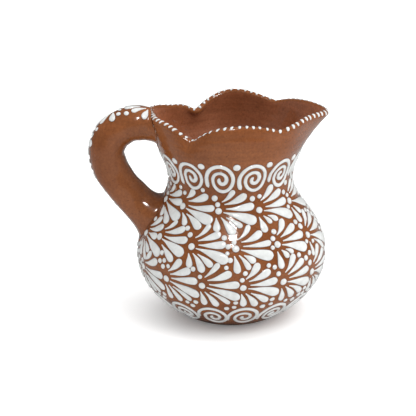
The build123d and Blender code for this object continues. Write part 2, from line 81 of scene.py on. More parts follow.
# Middle of the coil in the spout's plane, (along +X, height), and the coil's radius at each point.
HANDLE_PATH = [
    (-49.0, 134.6), (-54.2, 135.8), (-62.0, 136.7), (-74.0, 133.7), (-80.7, 128.1), (-84.7, 118.0),
    (-82.6, 105.7), (-76.8, 95.2), (-67.8, 84.0), (-59.5, 74.5), (-51.0, 65.5),
]
HANDLE_RADII = [10.4, 11.0, 12.0, 12.2, 12.3, 12.3, 12.2, 12.0, 12.2, 14.2, 18.0]

MM = (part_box("body")[1][2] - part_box("body")[0][2]) / BODY_HEIGHT      # metres in one drawn millimetre
RANDOM = np.random.default_rng(11)
TURN = 2 * math.pi


# ---------------------------------------------------------------- curves
def spline_points(points, count):
    """Natural cubic spline through the points, by chord length, as evenly spread points."""
    points = np.array(points, float)
    knots = np.r_[0, np.cumsum(np.linalg.norm(np.diff(points, axis=0), axis=1))]
    steps = np.diff(knots)[:, None]
    slopes = np.diff(points, axis=0) / steps
    size = len(points)
    matrix = np.eye(size)
    right = np.zeros_like(points)
    for i in range(1, size - 1):
        matrix[i, i - 1:i + 2] = steps[i - 1, 0], 2 * (steps[i - 1, 0] + steps[i, 0]), steps[i, 0]
        right[i] = 6 * (slopes[i] - slopes[i - 1])
    bend = np.linalg.solve(matrix, right)
    at = np.linspace(0, knots[-1], count)
    piece = np.clip(np.searchsorted(knots, at, "right") - 1, 0, size - 2)
    step = steps[piece]
    before = (knots[piece + 1] - at)[:, None]
    after = (at - knots[piece])[:, None]
    ends = points[piece] / step - bend[piece] * step / 6
    starts = points[piece + 1] / step - bend[piece + 1] * step / 6
    cubic = (bend[piece] * before ** 3 + bend[piece + 1] * after ** 3) / (6 * step)
    return cubic + ends * before + starts * after


def lengths_along(points):
    return np.r_[0, np.cumsum(np.linalg.norm(np.diff(points, axis=0), axis=1))]


def unit(vectors):
    return vectors / np.linalg.norm(vectors, axis=-1, keepdims=True)


def crowded_ends(count):
    """Steps from 0 to 1, closest together at both ends."""
    return 0.5 - 0.5 * np.cos(np.linspace(0, math.pi, count))


def rounded(part):
    """Quarter circle that rises from 0 to 1 and stays there: the round end of a mark."""
    return np.sqrt(np.clip(1 - (1 - np.clip(part, 0, 1)) ** 2, 0, 1))


def waves(rows, angle, along):
    """Sum of sine waves, each (size, waves for one turn, phase, radians for one millimetre along)."""
    return sum(size * np.sin(count * angle + phase + twist * along) for size, count, phase, twist in rows)


# ---------------------------------------------------------------- the outer wall
PROFILE = spline_points(BODY_PROFILE, 2000)
ARC = lengths_along(PROFILE)
RIM_DEGREES = np.arange(0, 360 + RIM_STEP / 2, RIM_STEP)
ROUNDING_STEPS = 10
# Small unevenness of a thrown wall, which fades out towards the foot and the lip.
WALL_WAVES = [
    (0.35, 2, 0.8, 1 / 40), (0.22, 3, -1.7, 1 / 23), (0.07, 1, 0, TURN / 5.3), (0.04, -1, 0, TURN / 2.9),
]
FOOT_FADE = 12.0
LIP_FADE = 8.0


def rim_curve():
    """Radius and lip height at each step right round the rim, with softened notches.

    Both sides are alike except where the far swells draw the rim at +Y up and out a little further."""
    rows = []
    for lobe in (SPOUT_LOBE, SIDE_LOBE, REAR_LOBE):
        whole = lobe
        if lobe is SPOUT_LOBE:
            whole = [(-a, r, z) for a, r, z in lobe[:0:-1]] + lobe
        if lobe is REAR_LOBE:
            whole = lobe + [(360 - a, r, z) for a, r, z in lobe[-2::-1]]
        curve = spline_points(whole, 400)
        rows.append(curve[(curve[:, 0] >= 0) & (curve[:, 0] <= 180)])
    rows = np.vstack(rows)
    degrees = RIM_DEGREES[:-1]
    folded = np.minimum(degrees, 360 - degrees)
    table = np.column_stack([np.interp(folded, rows[:, 0], rows[:, k]) for k in (1, 2)])
    for (start, end), swell in FAR_SWELLS:
        along = np.clip((degrees - start) / (end - start), 0, 1)
        table += np.outer(np.sin(math.pi * along) ** 2, swell)
    offsets = np.arange(-ROUNDING_STEPS, ROUNDING_STEPS + 1)
    weights = np.exp(-0.5 * (offsets * RIM_STEP / NOTCH_ROUNDING) ** 2)
    weights /= weights.sum()
    table = sum(w * np.roll(table, k, axis=0) for w, k in zip(weights, offsets))
    return np.vstack([table, table[:1]])


RIM = rim_curve()


def wall_radius(arc):
    """Radius of the plain round wall, before its lobes and unevenness."""
    return np.interp(arc, ARC, PROFILE[:, 0])


def wobble(angle, arc):
    fade = np.clip(arc / FOOT_FADE, 0, 1) * np.clip((ARC[-1] - arc) / LIP_FADE, 0, 1)
    return waves(WALL_WAVES, angle, arc) * fade


def skin(angle, arc):
    """Point on the outer wall: round below the flare, drawn out to the lobes above it."""
    angle, arc = np.broadcast_arrays(np.asarray(angle, float), np.asarray(arc, float))
    radius = wall_radius(arc) + wobble(angle, arc)
    height = np.interp(arc, ARC, PROFILE[:, 1])
    degrees = np.degrees(angle) % 360
    rim_radius, rim_top = [np.interp(degrees, RIM_DEGREES, RIM[:, k]) for k in (0, 1)]
    pull = np.clip((height - FLARE_START) / (LIP_BASE - FLARE_START), 0, 1) ** FLARE_POWER
    radius = radius + (rim_radius - RIM_MEAN_RADIUS) * pull
    height = height + (rim_top - LIP_RADIUS - LIP_BASE) * pull
    return np.stack([radius * np.cos(angle), radius * np.sin(angle), height], axis=-1)


def skin_frame(angle, arc):
    """Point, outward normal and upward tangent of the outer wall."""
    small_turn, small_arc = 4e-3, 0.15
    angle, arc = np.broadcast_arrays(np.asarray(angle, float), np.asarray(arc, float))
    arc = np.minimum(arc, ARC[-1] - small_arc)
    across = skin(angle + small_turn, arc) - skin(angle - small_turn, arc)
    up = unit(skin(angle, arc + small_arc) - skin(angle, arc - small_arc))
    return skin(angle, arc), unit(np.cross(across, up)), up


# ---------------------------------------------------------------- meshes
def new_piece(name, points, faces, smooth=True):
    """A mesh object in metres from points in millimetres."""
    mesh = bpy.data.meshes.new(name)
    mesh.from_pydata((np.asarray(points) * MM).tolist(), [], faces)
    mesh.validate()
    shell = bmesh.new()
    shell.from_mesh(mesh)
    bmesh.ops.recalc_face_normals(shell, faces=shell.faces)
    shell.to_mesh(mesh)
    shell.free()
    mesh.polygons.foreach_set("use_smooth", [smooth] * len(mesh.polygons))
    piece = bpy.data.objects.new(name, mesh)
    bpy.context.scene.collection.objects.link(piece)
    return piece


def grid_faces(rows, columns, start=0):
    """Quads between rows of points, each row a closed loop of columns."""
    faces = []
    for i in range(rows - 1):
        for j in range(columns):
            k = (j + 1) % columns
            a = start + i * columns
            b = a + columns
            faces.append((a + j, a + k, b + k, b + j))
    return faces


def closed_tube(rings, first_cap, last_cap):
    """Points and faces of a tube of rings that closes on a point at each end."""
    columns = len(rings[0])
    faces = grid_faces(len(rings), columns)
    first = len(rings) * columns
    last_ring = first - columns
    for j in range(columns):
        k = (j + 1) % columns
        faces.append((first, k, j))
        faces.append((first + 1, last_ring + j, last_ring + k))
    return np.vstack([*rings, [first_cap], [last_cap]]), faces


def set_attribute(piece, name, values):
    layer = piece.data.attributes.new(name, "FLOAT", "POINT")
    layer.data.foreach_set("value", np.asarray(values, float))


# ---------------------------------------------------------------- body
BODY_COLUMNS = 360
# The slightly hollow underside from its middle out, and the floor from the wall in: (radius, height).
UNDERSIDE = [(6.0, 1.0), (16.0, 0.95), (23.0, 0.8), (26.5, 0.45), (28.2, 0.1), (30.0, 0.0)]
UNDERSIDE_MIDDLE = (0, 0, 1.0)
INNER_FLOOR = [
    (36.0, FLOOR + 1.7), (33.0, FLOOR + 0.7), (29.0, FLOOR + 0.15), (22.0, FLOOR), (14.0, FLOOR + 0.25),
    (9.0, FLOOR - 0.1), (4.0, FLOOR + 0.5),
]
INNER_FLOOR_MIDDLE = (0, 0, FLOOR + 0.8)
OUTER_ARCS = np.r_[0.8, 1.6, np.linspace(2.6, ARC[-1], 136)]
LIP_TURNS = np.radians(np.linspace(12, 168, 14))
INNER_ARCS = np.linspace(ARC[-1], 13.5, 96)
# Below the lip the inner wall spreads the notches, over so many degrees once it is this far down.
NOTCH_SPREAD = 7.0
NOTCH_SPREAD_DEPTH = 14.0
SPREAD_WEIGHTS = [(-1, 0.12), (-0.5, 0.23), (0, 0.3), (0.5, 0.23), (1, 0.12)]
# Above this height the wall's thickness is laid off level, not square to the wall.
LEVEL_START = FLARE_START - 4
LEVEL_REACH = 8.0
# Throwing rings inside, which fade out below the lip.
INNER_WAVES = [(0.22, -1, 0, TURN / 6.1)]
INNER_WAVES_END = 150.0
INNER_WAVES_FADE = 30.0
LIP_BLEND = 7.0


def level_ring(angles, radius, height):
    heights = np.full(len(angles), height)
    return np.stack([radius * np.cos(angles), radius * np.sin(angles), heights], axis=-1)


def inner_skin(angle, arc):
    """Point on the inner wall, where the notches of the rim fade to soft ridges."""
    spread = np.radians(NOTCH_SPREAD) * np.clip((ARC[-1] - arc) / NOTCH_SPREAD_DEPTH, 0, 1)
    radius, height = 0, 0
    for step, weight in SPREAD_WEIGHTS:
        point = skin(angle + step * spread, arc)
        radius = radius + weight * np.hypot(point[..., 0], point[..., 1])
        height = height + weight * point[..., 2]
    point, normal, _ = skin_frame(angle, arc)
    rings = waves(INNER_WAVES, angle, arc) * np.clip((INNER_WAVES_END - arc) / INNER_WAVES_FADE, 0, 1)
    level = level_ring(angle, 1.0, 0.0)
    in_flare = np.clip((height - LEVEL_START) / LEVEL_REACH, 0, 1)[:, None]
    direction = unit(normal + in_flare * (level - normal))
    middle = np.stack([radius * np.cos(angle), radius * np.sin(angle), height], axis=-1)
    free = middle - (WALL + rings)[:, None] * direction
    at_lip = point - WALL * normal
    blend = np.clip((ARC[-1] - arc) / LIP_BLEND, 0, 1)
    blend = blend * blend * (3 - 2 * blend)
    return at_lip + blend * (free - at_lip)


def make_body():
    """One closed skin: foot, outer wall, lip, inner wall and floor."""
    angles = np.linspace(0, TURN, BODY_COLUMNS, endpoint=False)
    point, normal, up = skin_frame(angles, ARC[-1])
    lip_centre = point - LIP_RADIUS * normal
    outside = [level_ring(angles, radius, height) for radius, height in UNDERSIDE]
    outside += [skin(angles, arc) for arc in OUTER_ARCS]
    for turn in LIP_TURNS:
        outside.append(lip_centre + LIP_RADIUS * (math.cos(turn) * normal + math.sin(turn) * up))
    within = [inner_skin(angles, arc) for arc in INNER_ARCS]
    within += [level_ring(angles, radius, height) for radius, height in INNER_FLOOR]
    points, faces = closed_tube(outside + within, UNDERSIDE_MIDDLE, INNER_FLOOR_MIDDLE)
    piece = new_piece("body_clay", points, faces)
    # Marks the inner wall and floor, which the clay's colour paints paler as painted light.
    inside = np.zeros(len(points))
    inside[len(outside) * BODY_COLUMNS:] = 1.0
    inside[-2] = 0.0
    set_attribute(piece, "inside", inside)
    return piece


# ---------------------------------------------------------------- handle
COIL = np.insert(spline_points(HANDLE_PATH, 600), 1, 0, axis=1)
COIL_FORWARD = unit(np.gradient(COIL, axis=0))
SIDEWAYS = np.array([0, 1.0, 0])
COIL_OUTWARD = np.cross(SIDEWAYS, COIL_FORWARD)
COIL_KNOTS = [int(np.argmin(np.linalg.norm(COIL[:, [0, 2]] - knot, axis=1))) for knot in HANDLE_PATH]
COIL_RADIUS = np.interp(np.arange(len(COIL)), COIL_KNOTS, HANDLE_RADII)
COIL_ARC = lengths_along(COIL)
SPINE_ARC = lengths_along(COIL + COIL_RADIUS[:, None] * COIL_OUTWARD)
COIL_COLUMNS = 72
COIL_RINGS = 96
COIL_WAVES = [(0.16, 2, 0, 1 / 4.2), (0.1, -1, 0, 1 / 2.3)]
# The round stretch of the coil between its two joints, along its middle.
COIL_START = 7.6
COIL_END = 84.0

# Joint on the wall: (centre up the wall, half height, half width, +1 when the coil comes from above).
UPPER_JOINT = (153.2, 11.8, 13.2, 1)
LOWER_JOINT = (88.0, 20.5, 14.6, -1)
# How each end flows on from the coil and eases into the wall, how deep it stops, and its rings.
UPPER_REACH = 2.6
UPPER_EASE = 4.4
UPPER_DEPTH = 0.3
UPPER_RINGS = 18
LOWER_REACH = 9.0
LOWER_EASE = 7.0
LOWER_DEPTH = 0.25
LOWER_RINGS = 26
# The top of the upper end runs on level and over the lip.
OVER_LIP = (0.5, 0, -0.85)
OVER_LIP_EASE = 2.2
OVER_LIP_POWER = 1.2
END_CAP = (2.5, 0, 0)       # the middle of each end, from its ring, inside the wall
# The joining slip wiped round a joint.
SMEAR_REACH = 2.2
SMEAR_HEIGHT = 0.5
SMEAR_WAVES = [(0.16, 3, 0.6, 0), (0.1, 7, 0, 0)]
SMEAR_COLUMNS = 96
SMEAR_ROWS = 16


def coil_ring(index, turns):
    """A ring of the coil, a little lumpy from pulling."""
    way = np.cos(turns)[:, None] * COIL_OUTWARD[index] + np.sin(turns)[:, None] * SIDEWAYS
    radius = COIL_RADIUS[index] + waves(COIL_WAVES, turns, COIL_ARC[index])
    return COIL[index] + radius[:, None] * way


def joint_rings(start_ring, direction, reach, footprint, outward, ease, count):
    """Rings that carry the coil into the wall along smooth curves, ending just under its surface."""
    first = start_ring + direction * reach
    second = footprint - outward * ease
    rings = []
    for t in np.linspace(0, 1, count + 1)[1:]:
        rings.append((1 - t) ** 3 * start_ring + 3 * (1 - t) ** 2 * t * first
                     + 3 * (1 - t) * t * t * second + t ** 3 * footprint)
    return rings


def wall_footprint(turns, centre_arc, half_arc, half_width, flip):
    """Points round a joint at the back of the wall, with the wall's normals and the ways leading off it."""
    arc = centre_arc + flip * half_arc * np.cos(turns)
    angle = math.pi - half_width * np.sin(turns) / wall_radius(arc)
    point, normal, up = skin_frame(angle, arc)
    over = np.clip((arc - ARC[-1]) / LIP_RADIUS, 0, None)[:, None]
    lip_normal = np.cos(over) * normal + np.sin(over) * up
    lip_up = np.cos(over) * up - np.sin(over) * normal
    point = point + LIP_RADIUS * (lip_normal - normal)
    around = unit(np.cross(lip_up, lip_normal))
    away = flip * np.cos(turns)[:, None] * lip_up + np.sin(turns)[:, None] * around
    return point, lip_normal, unit(away)


def make_smear(name, joint):
    """The joining slip, squeezed out and wiped flat round a joint of the handle."""
    turns = np.linspace(0, TURN, SMEAR_COLUMNS, endpoint=False)
    foot, normal, away = wall_footprint(turns, *joint)
    reach = SMEAR_REACH * (1 + waves(SMEAR_WAVES, turns, 0))[:, None]
    rows = []
    for turn in np.linspace(0, TURN, SMEAR_ROWS, endpoint=False):
        rows.append(foot + reach * math.cos(turn) * away + SMEAR_HEIGHT * math.sin(turn) * normal)
    faces = grid_faces(SMEAR_ROWS, SMEAR_COLUMNS)
    last = (SMEAR_ROWS - 1) * SMEAR_COLUMNS
    for j in range(SMEAR_COLUMNS):
        k = (j + 1) % SMEAR_COLUMNS
        faces.append((last + j, last + k, k, j))
    return new_piece(name, np.concatenate(rows), faces)


def make_handle():
    """The coil, with both ends drawn out onto the wall."""
    turns = np.linspace(0, TURN, COIL_COLUMNS, endpoint=False)
    start, end = [int(np.searchsorted(COIL_ARC, place)) for place in (COIL_START, COIL_END)]
    rings = [coil_ring(i, turns) for i in np.linspace(start, end, COIL_RINGS).astype(int)]
    top_foot, top_normal, top_away = wall_footprint(turns, *UPPER_JOINT)
    low_foot, low_normal, low_away = wall_footprint(turns, *LOWER_JOINT)
    inward = (np.clip(np.cos(turns), 0, 1) ** OVER_LIP_POWER)[:, None]
    top_away = unit((1 - inward) * top_away + inward * OVER_LIP)
    upper = joint_rings(rings[0], -COIL_FORWARD[start], UPPER_REACH, top_foot - UPPER_DEPTH * top_normal,
                        top_away, UPPER_EASE - OVER_LIP_EASE * inward, UPPER_RINGS)
    lower = joint_rings(rings[-1], COIL_FORWARD[end], LOWER_REACH, low_foot - LOWER_DEPTH * low_normal,
                        low_away, LOWER_EASE, LOWER_RINGS)
    caps = [end_ring.mean(axis=0) + END_CAP for end_ring in (upper[-1], lower[-1])]
    points, faces = closed_tube(upper[::-1] + rings + lower, *caps)
    return new_piece("handle_clay", points, faces)


# ---------------------------------------------------------------- surfaces that slip is laid on
# Down the handle the marks drift to its far side, by this much for each millimetre past the start.
HANDLE_DRIFT = 0.12
HANDLE_DRIFT_START = 14.0


def wall_patch(angle_degrees, centre_arc):
    """Local millimetres (along +angle, up the wall) round a spot on the wall, as points and normals."""
    def patch(along, up):
        angle = math.radians(angle_degrees) + along / wall_radius(centre_arc + up / 2)
        point, normal, _ = skin_frame(angle, centre_arc + up)
        return point, normal
    return patch


def handle_patch(start, side):
    """Local millimetres (down the handle's outer spine, away from it) as points and normals."""
    def patch(along, across):
        here = np.clip(np.searchsorted(SPINE_ARC, start + along), 0, len(COIL) - 1)
        radius = COIL_RADIUS[here]
        drift = HANDLE_DRIFT * np.clip(start + along - HANDLE_DRIFT_START, 0, None)
        turn = (side * across + drift) / radius
        normal = np.cos(turn)[..., None] * COIL_OUTWARD[here] + np.sin(turn)[..., None] * SIDEWAYS
        return COIL[here] + radius[..., None] * normal, normal
    return patch


def lip_patch(crest_length, crest_angle, start):
    """Local millimetres (round the rim, over the lip from outside to inside) as points and normals."""
    def patch(along, over):
        angle = np.interp(start + along, crest_length, crest_angle)
        point, normal, up = skin_frame(angle, np.full(np.shape(along), ARC[-1]))
        turn = math.pi / 2 + over / LIP_RADIUS
        direction = np.cos(turn)[..., None] * normal + np.sin(turn)[..., None] * up
        return point - LIP_RADIUS * normal + LIP_RADIUS * direction, direction
    return patch


# ---------------------------------------------------------------- slip marks
# Half section of a mark: (distance from its middle over its half width, height over its full height).
SECTION = [(0.0, 1.0), (0.3, 0.965), (0.56, 0.85), (0.77, 0.66), (0.91, 0.42), (1.0, 0.12), (1.1, 0.03)]
# Where cover falls off at a mark's thin edge, the slip material paints a dark ring: partly pooled glaze,
# partly painted shade.
SECTION_COVER = [1.0, 1.0, 1.0, 0.98, 0.8, 0.25, 0.0]
SUNK = 0.35                 # how deep a mark's underside lies in the clay
FINEST = 0.012              # half width at the very ends of a mark
TAIL_RADIUS = 0.4
TAIL_SWELL = 1.7            # the higher, the longer a teardrop's tail stays fine
HEAD_SHARE = 0.42           # a head's radius is at most this much of the teardrop's length
HEAD_PLACE = 1.08           # the widest place, in head radii before the tip
TAIL_HEIGHT = 0.35          # a tail's height at its finest, of the head's height


class Slip:
    """Gathers many closed marks of slip into one mesh, with how thickly each point is covered."""

    def __init__(self):
        self.points = []
        self.faces = []
        self.cover = []
        self.count = 0

    def add_loops(self, loops, covers):
        """A closed mark from loops of points, with a flat face over the first loop and the last."""
        rows, columns = loops.shape[:2]
        start = self.count
        self.points.append(loops.reshape(-1, 3))
        self.cover.append(covers.reshape(-1))
        self.faces += grid_faces(rows, columns, start)
        self.faces.append(tuple(range(start + columns - 1, start - 1, -1)))
        self.faces.append(tuple(range(start + (rows - 1) * columns, start + rows * columns)))
        self.count += rows * columns

    def finish(self, name):
        piece = new_piece(name, np.concatenate(self.points), self.faces)
        set_attribute(piece, "cover", np.concatenate(self.cover))
        return piece


def ribbon(slip, patch, spine, half_widths, heights):
    """A rounded ribbon of slip along a spine of local points, with given half widths and heights.

    Its section runs over the top from side to side, then back through two points under the clay."""
    forward = unit(np.gradient(spine, axis=0))
    side = np.stack([-forward[:, 1], forward[:, 0]], axis=-1)
    offsets = [place for place, _ in SECTION[:0:-1]] + [-place for place, _ in SECTION]
    rises = [rise for _, rise in SECTION[:0:-1] + SECTION]
    columns = []
    for offset, rise in zip(offsets, rises):
        point, normal = patch(*(spine + side * (half_widths * offset)[:, None]).T)
        columns.append(point + (heights * rise)[:, None] * normal)
    for offset in (-1, 1):
        point, normal = patch(*(spine + side * (half_widths * offset)[:, None]).T)
        columns.append(point - SUNK * normal)
    covers = SECTION_COVER[:0:-1] + SECTION_COVER + [0.0, 0.0]
    slip.add_loops(np.stack(columns, axis=1), np.tile(covers, (len(spine), 1)))


def teardrop_radius(width, length):
    return min(width / 2, HEAD_SHARE * length)


def teardrop_widths(t, radius, length):
    """Half width along a teardrop: fine tail swelling to a full round head."""
    centre = 1 - HEAD_PLACE * radius / length
    swell = np.sin(math.pi / 2 * np.clip(t / centre, 0, 1)) ** TAIL_SWELL
    body = TAIL_RADIUS + (radius - TAIL_RADIUS) * swell
    head = radius * np.sqrt(np.clip(1 - (np.clip(t - centre, 0, None) / (1 - centre)) ** 2, 0, 1))
    width = np.where(t < centre, body, head)
    return np.maximum(width * rounded(t * length / TAIL_RADIUS), FINEST)


def teardrop_spine(tail, tip, bow, count=22):
    """Points from tail to head tip, bowed sideways, denser at both ends."""
    t = crowded_ends(count)
    tail, tip = np.array(tail, float), np.array(tip, float)
    chord = tip - tail
    across = np.array([-chord[1], chord[0]])
    spine = tail + t[:, None] * chord + (4 * t * (1 - t))[:, None] * across * bow
    return t, spine


def add_teardrop(slip, patch, tail, tip, width, bow, height):
    """A teardrop that is low along its tail and full at its head."""
    t, spine = teardrop_spine(tail, tip, bow)
    length = float(np.linalg.norm(np.subtract(tip, tail)))
    radius = teardrop_radius(width, length)
    half = teardrop_widths(t, radius, length)
    fullness = TAIL_HEIGHT + (1 - TAIL_HEIGHT) * np.clip(half / radius, 0, 1) ** 0.8
    heights = height * fullness * np.clip(half / 0.3, 0, 1) ** 0.5
    ribbon(slip, patch, spine, half, heights)


def add_dot(slip, patch, along, up, radius, height):
    """A domed dot, drawn as a very short ribbon."""
    t = 2 * crowded_ends(15) - 1
    spine = np.stack([along + t * radius, np.full(len(t), up)], axis=-1)
    half = np.maximum(radius * np.sqrt(np.clip(1 - t ** 2, 0, 1)), FINEST)
    heights = height * np.clip(half / radius, 0, 1) ** 0.75
    ribbon(slip, patch, spine, half, heights)


# Spirals: they start at this angle, go over the top, and wind in until little of the radius is left.
SCROLL_START = math.radians(205)
SCROLL_WOUND = 0.93
SCROLL_STEPS = 52
SCROLL_STROKE = 2.5
SCROLL_HEIGHT = 0.85
SCROLL_BLOB = 0.18          # how much wider a spiral is where the trailer was set down
SCROLL_WAVER = 0.1          # how much its width wavers after that


def scroll_spine(radius, turns, squash, phase):
    """A spiral that starts low on its left, goes over the top and winds in."""
    t = np.linspace(0, 1, int(SCROLL_STEPS * turns))
    heading = SCROLL_START - turns * TURN * t + phase
    middle = (radius - SCROLL_STROKE / 2) * (1 - SCROLL_WOUND * t)
    return t, np.stack([middle * np.cos(heading), squash * middle * np.sin(heading)], axis=-1)


def add_scroll(slip, patch, t, spine, phase):
    """A spiral stroke with a small blob at its start and a slightly uneven width."""
    swell = 1 + SCROLL_BLOB * np.exp(-(t / 0.03) ** 2) + SCROLL_WAVER * np.sin(9 * t + phase * 7)
    ends = rounded(t / 0.018) * rounded((1 - t) / 0.03)
    half = np.maximum(SCROLL_STROKE / 2 * swell * ends, FINEST)
    heights = SCROLL_HEIGHT * np.clip(half / (SCROLL_STROKE / 2), 0, 1) ** 0.6
    ribbon(slip, patch, spine, half, heights)


# ---------------------------------------------------------------- layout of the wall
MARK_GAP = 0.62             # clay left between two marks
ANYWAY = -99.0              # a gap that every mark passes
# Rings of spirals: (distance up the wall, first angle, how many, radius, turns, height over width).
NECK_SCROLLS = (129.2, -125.6, 13, 11.4, 2.3, 1.26)
BASE_SCROLLS = (23.2, -128.1, 15, 12.3, 2.3, 1.26)
SCROLL_CORE = 0.6           # the part of a spiral's radius that is kept clear all over
# Rings of dots: (distance up the wall, first angle, how many, radius).
NECK_DOTS = (139.8, -141.0, 13, 2.4)
BASE_DOTS = (36.6, -117.0, 15, 1.9)
DOT_TOUCH = -1.6            # these dots may run into the spirals
RING_DOT_HEIGHT = 0.95
# Rows of fans on the belly: (distance up the wall, first angle, step in angle, how many).
FAN_ROWS = [
    (105.0, -163.5, 0.0, 1), (107.0, -135.5, 35.0, 9), (81.0, -144.0, 28.4, 11), (78.0, -164.5, 0.0, 1),
    (55.6, -157.5, 24.85, 14),
]
HEART_RADIUS = 2.35
HEART_HEIGHT = 1.0
HEART_TOUCH = 0.45          # how far tails may come into a heart's claim
# One fan, opening towards +angle: (tail along, tail up, tip along, tip up, head width, bow).
FAN_PETALS = [
    (3.2, -0.8, 24.2, -8.0, 7.0, 0.03), (4.8, 1.6, 23.4, 2.6, 5.4, -0.02),
    (3.8, 4.4, 18.4, 10.2, 5.3, -0.05), (1.8, 6.2, 10.8, 15.8, 5.2, -0.08),
    (5.2, -4.4, 17.2, -13.0, 5.2, 0.06), (1.8, -4.2, 9.6, -15.6, 5.2, 0.05),
    (-1.2, -4.6, 0.6, -15.6, 4.9, 0.04), (-3.6, -3.0, -8.6, -11.6, 4.2, -0.04),
]
TAIL_TOUCH = 0.35           # how much closer than its width a fine tail may lie to its neighbours
SHORTEST_PETAL = 0.42       # of its full length
PETAL_STEP = -0.06
PETAL_SLIMS = (1.0, 0.88, 0.76)
# Loose dots kept near each heart: (along, up, radius).
FAN_DOTS = [
    (-3.4, 7.8, 2.0), (-6.4, 11.6, 1.8), (-11.0, 13.6, 1.7), (-5.4, -3.0, 1.6), (-2.0, -6.2, 1.7),
    (-4.8, -8.0, 1.8), (-7.6, -11.0, 1.6), (2.0, -10.4, 1.6), (-2.4, -13.0, 1.7),
]
SMALL_DOT_HEIGHT = 0.85
# Dots that fill what clay is left, tried at a fixed step up and round this stretch of the wall.
FILL_FROM = 38.0
FILL_TO = 122.5
FILL_STEP = 1.5
FILL_DOT = 1.75
FILL_GAP = 0.85
# Clear clay round the handle's lower joint: (distance up the wall, radius).
JOINT_KEEP_OUT = [(74.0, 9.0), (80.0, 13.0), (88.0, 14.6), (96.0, 13.0), (101.5, 9.0)]


class Layout:
    """Keeps clay showing between marks."""

    def __init__(self):
        self.points = np.zeros((0, 3))
        self.radii = np.zeros(0)

    def take(self, points, radii, gap=MARK_GAP):
        """Claims the place if it is clear, and says whether it did."""
        if len(self.radii):
            apart = np.linalg.norm(self.points[None] - points[:, None], axis=2)
            if (apart - self.radii[None] - radii[:, None]).min() < gap:
                return False
        self.points = np.vstack([self.points, points])
        self.radii = np.r_[self.radii, radii]
        return True

    def take_spot(self, angle, arc, radius, gap=MARK_GAP):
        return self.take(skin(math.radians(angle), arc)[None], np.array([radius]), gap)


def lay_scrolls(layout, slip, ring):
    """A ring of hand-drawn spirals, each a little off the rule."""
    arc, first, count, radius, turns, squash = ring
    for k in range(count):
        angle = first + 360 / count * k + RANDOM.normal(0, 0.35)
        size = radius * RANDOM.uniform(0.97, 1.03)
        phase = RANDOM.normal(0, 0.14)
        patch = wall_patch(angle, arc)
        t, spine = scroll_spine(size, turns * RANDOM.uniform(0.95, 1.04), squash, phase)
        claimed = patch(*spine[::3].T)[0]
        layout.take(claimed, np.full(len(claimed), SCROLL_STROKE / 2), ANYWAY)
        layout.take_spot(angle, arc, size * SCROLL_CORE, ANYWAY)
        add_scroll(slip, patch, t, spine, phase)


def lay_dots(layout, slip, ring):
    """A ring of dots between the spirals."""
    arc, first, count, radius = ring
    for k in range(count):
        angle = first + 360 / count * k + RANDOM.normal(0, 0.4)
        size = radius * RANDOM.uniform(0.92, 1.08)
        if layout.take_spot(angle, arc, size, DOT_TOUCH):
            add_dot(slip, wall_patch(angle, arc), 0, 0, size, RING_DOT_HEIGHT)


def lay_hearts(layout, slip):
    """The dot at the root of each fan; returns where fans grow: (distance up the wall, angle, tilt)."""
    fans = []
    for arc, first, step, count in FAN_ROWS:
        for k in range(count):
            fans.append((arc + RANDOM.normal(0, 0.5), first + step * k + RANDOM.normal(0, 0.5),
                         RANDOM.normal(0, 0.035)))
    kept = []
    for arc, angle, tilt in fans:
        size = HEART_RADIUS * RANDOM.uniform(0.94, 1.06)
        if layout.take_spot(angle, arc, size - HEART_TOUCH):
            add_dot(slip, wall_patch(angle, arc), 0, 0, size, HEART_HEIGHT)
            kept.append((arc, angle, tilt))
    return kept


def place_petal(layout, patch, petal, tilt, size):
    """Slims and shortens a petal until it is clear; returns its tail, tip, width and bow."""
    tail_along, tail_up, tip_along, tip_up, width, bow = petal
    turn = np.array([[math.cos(tilt), -math.sin(tilt)], [math.sin(tilt), math.cos(tilt)]])
    tail = turn @ (tail_along, tail_up)
    full_tip = turn @ (tip_along, tip_up)
    for part in np.arange(size, SHORTEST_PETAL, PETAL_STEP):
        tip = tail + (full_tip - tail) * part
        length = float(np.linalg.norm(tip - tail))
        for slim in PETAL_SLIMS:
            radius = teardrop_radius(width * slim * min(1.0, 0.7 + 0.3 * part), length)
            t, spine = teardrop_spine(tail, tip, bow, 14)
            half = teardrop_widths(t, radius, length)
            claimed = t <= 1 - 0.9 * radius / length
            claimed[np.argmax(~claimed)] = False
            points, _ = patch(*spine[claimed].T)
            if layout.take(points, half[claimed] - TAIL_TOUCH * (1 - half[claimed] / radius)):
                return tail, tip, 2 * radius, bow
    return None


def lay_petals(layout, slip, fans):
    """The petals, all fans' longest ones first, so that short ones give way."""
    for petal in FAN_PETALS:
        for arc, angle, tilt in fans:
            patch = wall_patch(angle, arc)
            lean = tilt + RANDOM.normal(0, 0.025)
            placed = place_petal(layout, patch, petal, lean, RANDOM.uniform(1.0, 1.1))
            if placed:
                tail, tip, width, bow = placed
                bow += RANDOM.normal(0, 0.015)
                add_teardrop(slip, patch, tail, tip, width, bow, RANDOM.uniform(0.85, 1.0))


def lay_fan_dots(layout, slip, fans):
    """Loose dots beside each heart, where there is room."""
    for dot_along, dot_up, radius in FAN_DOTS:
        for fan_arc, fan_angle, _ in fans:
            along = dot_along + RANDOM.normal(0, 0.4)
            up = dot_up + RANDOM.normal(0, 0.4)
            angle = fan_angle + math.degrees(along / wall_radius(fan_arc + up / 2))
            arc = fan_arc + up
            size = radius * RANDOM.uniform(0.86, 1.08)
            if layout.take_spot(angle, arc, size):
                add_dot(slip, wall_patch(angle, arc), 0, 0, size, SMALL_DOT_HEIGHT)


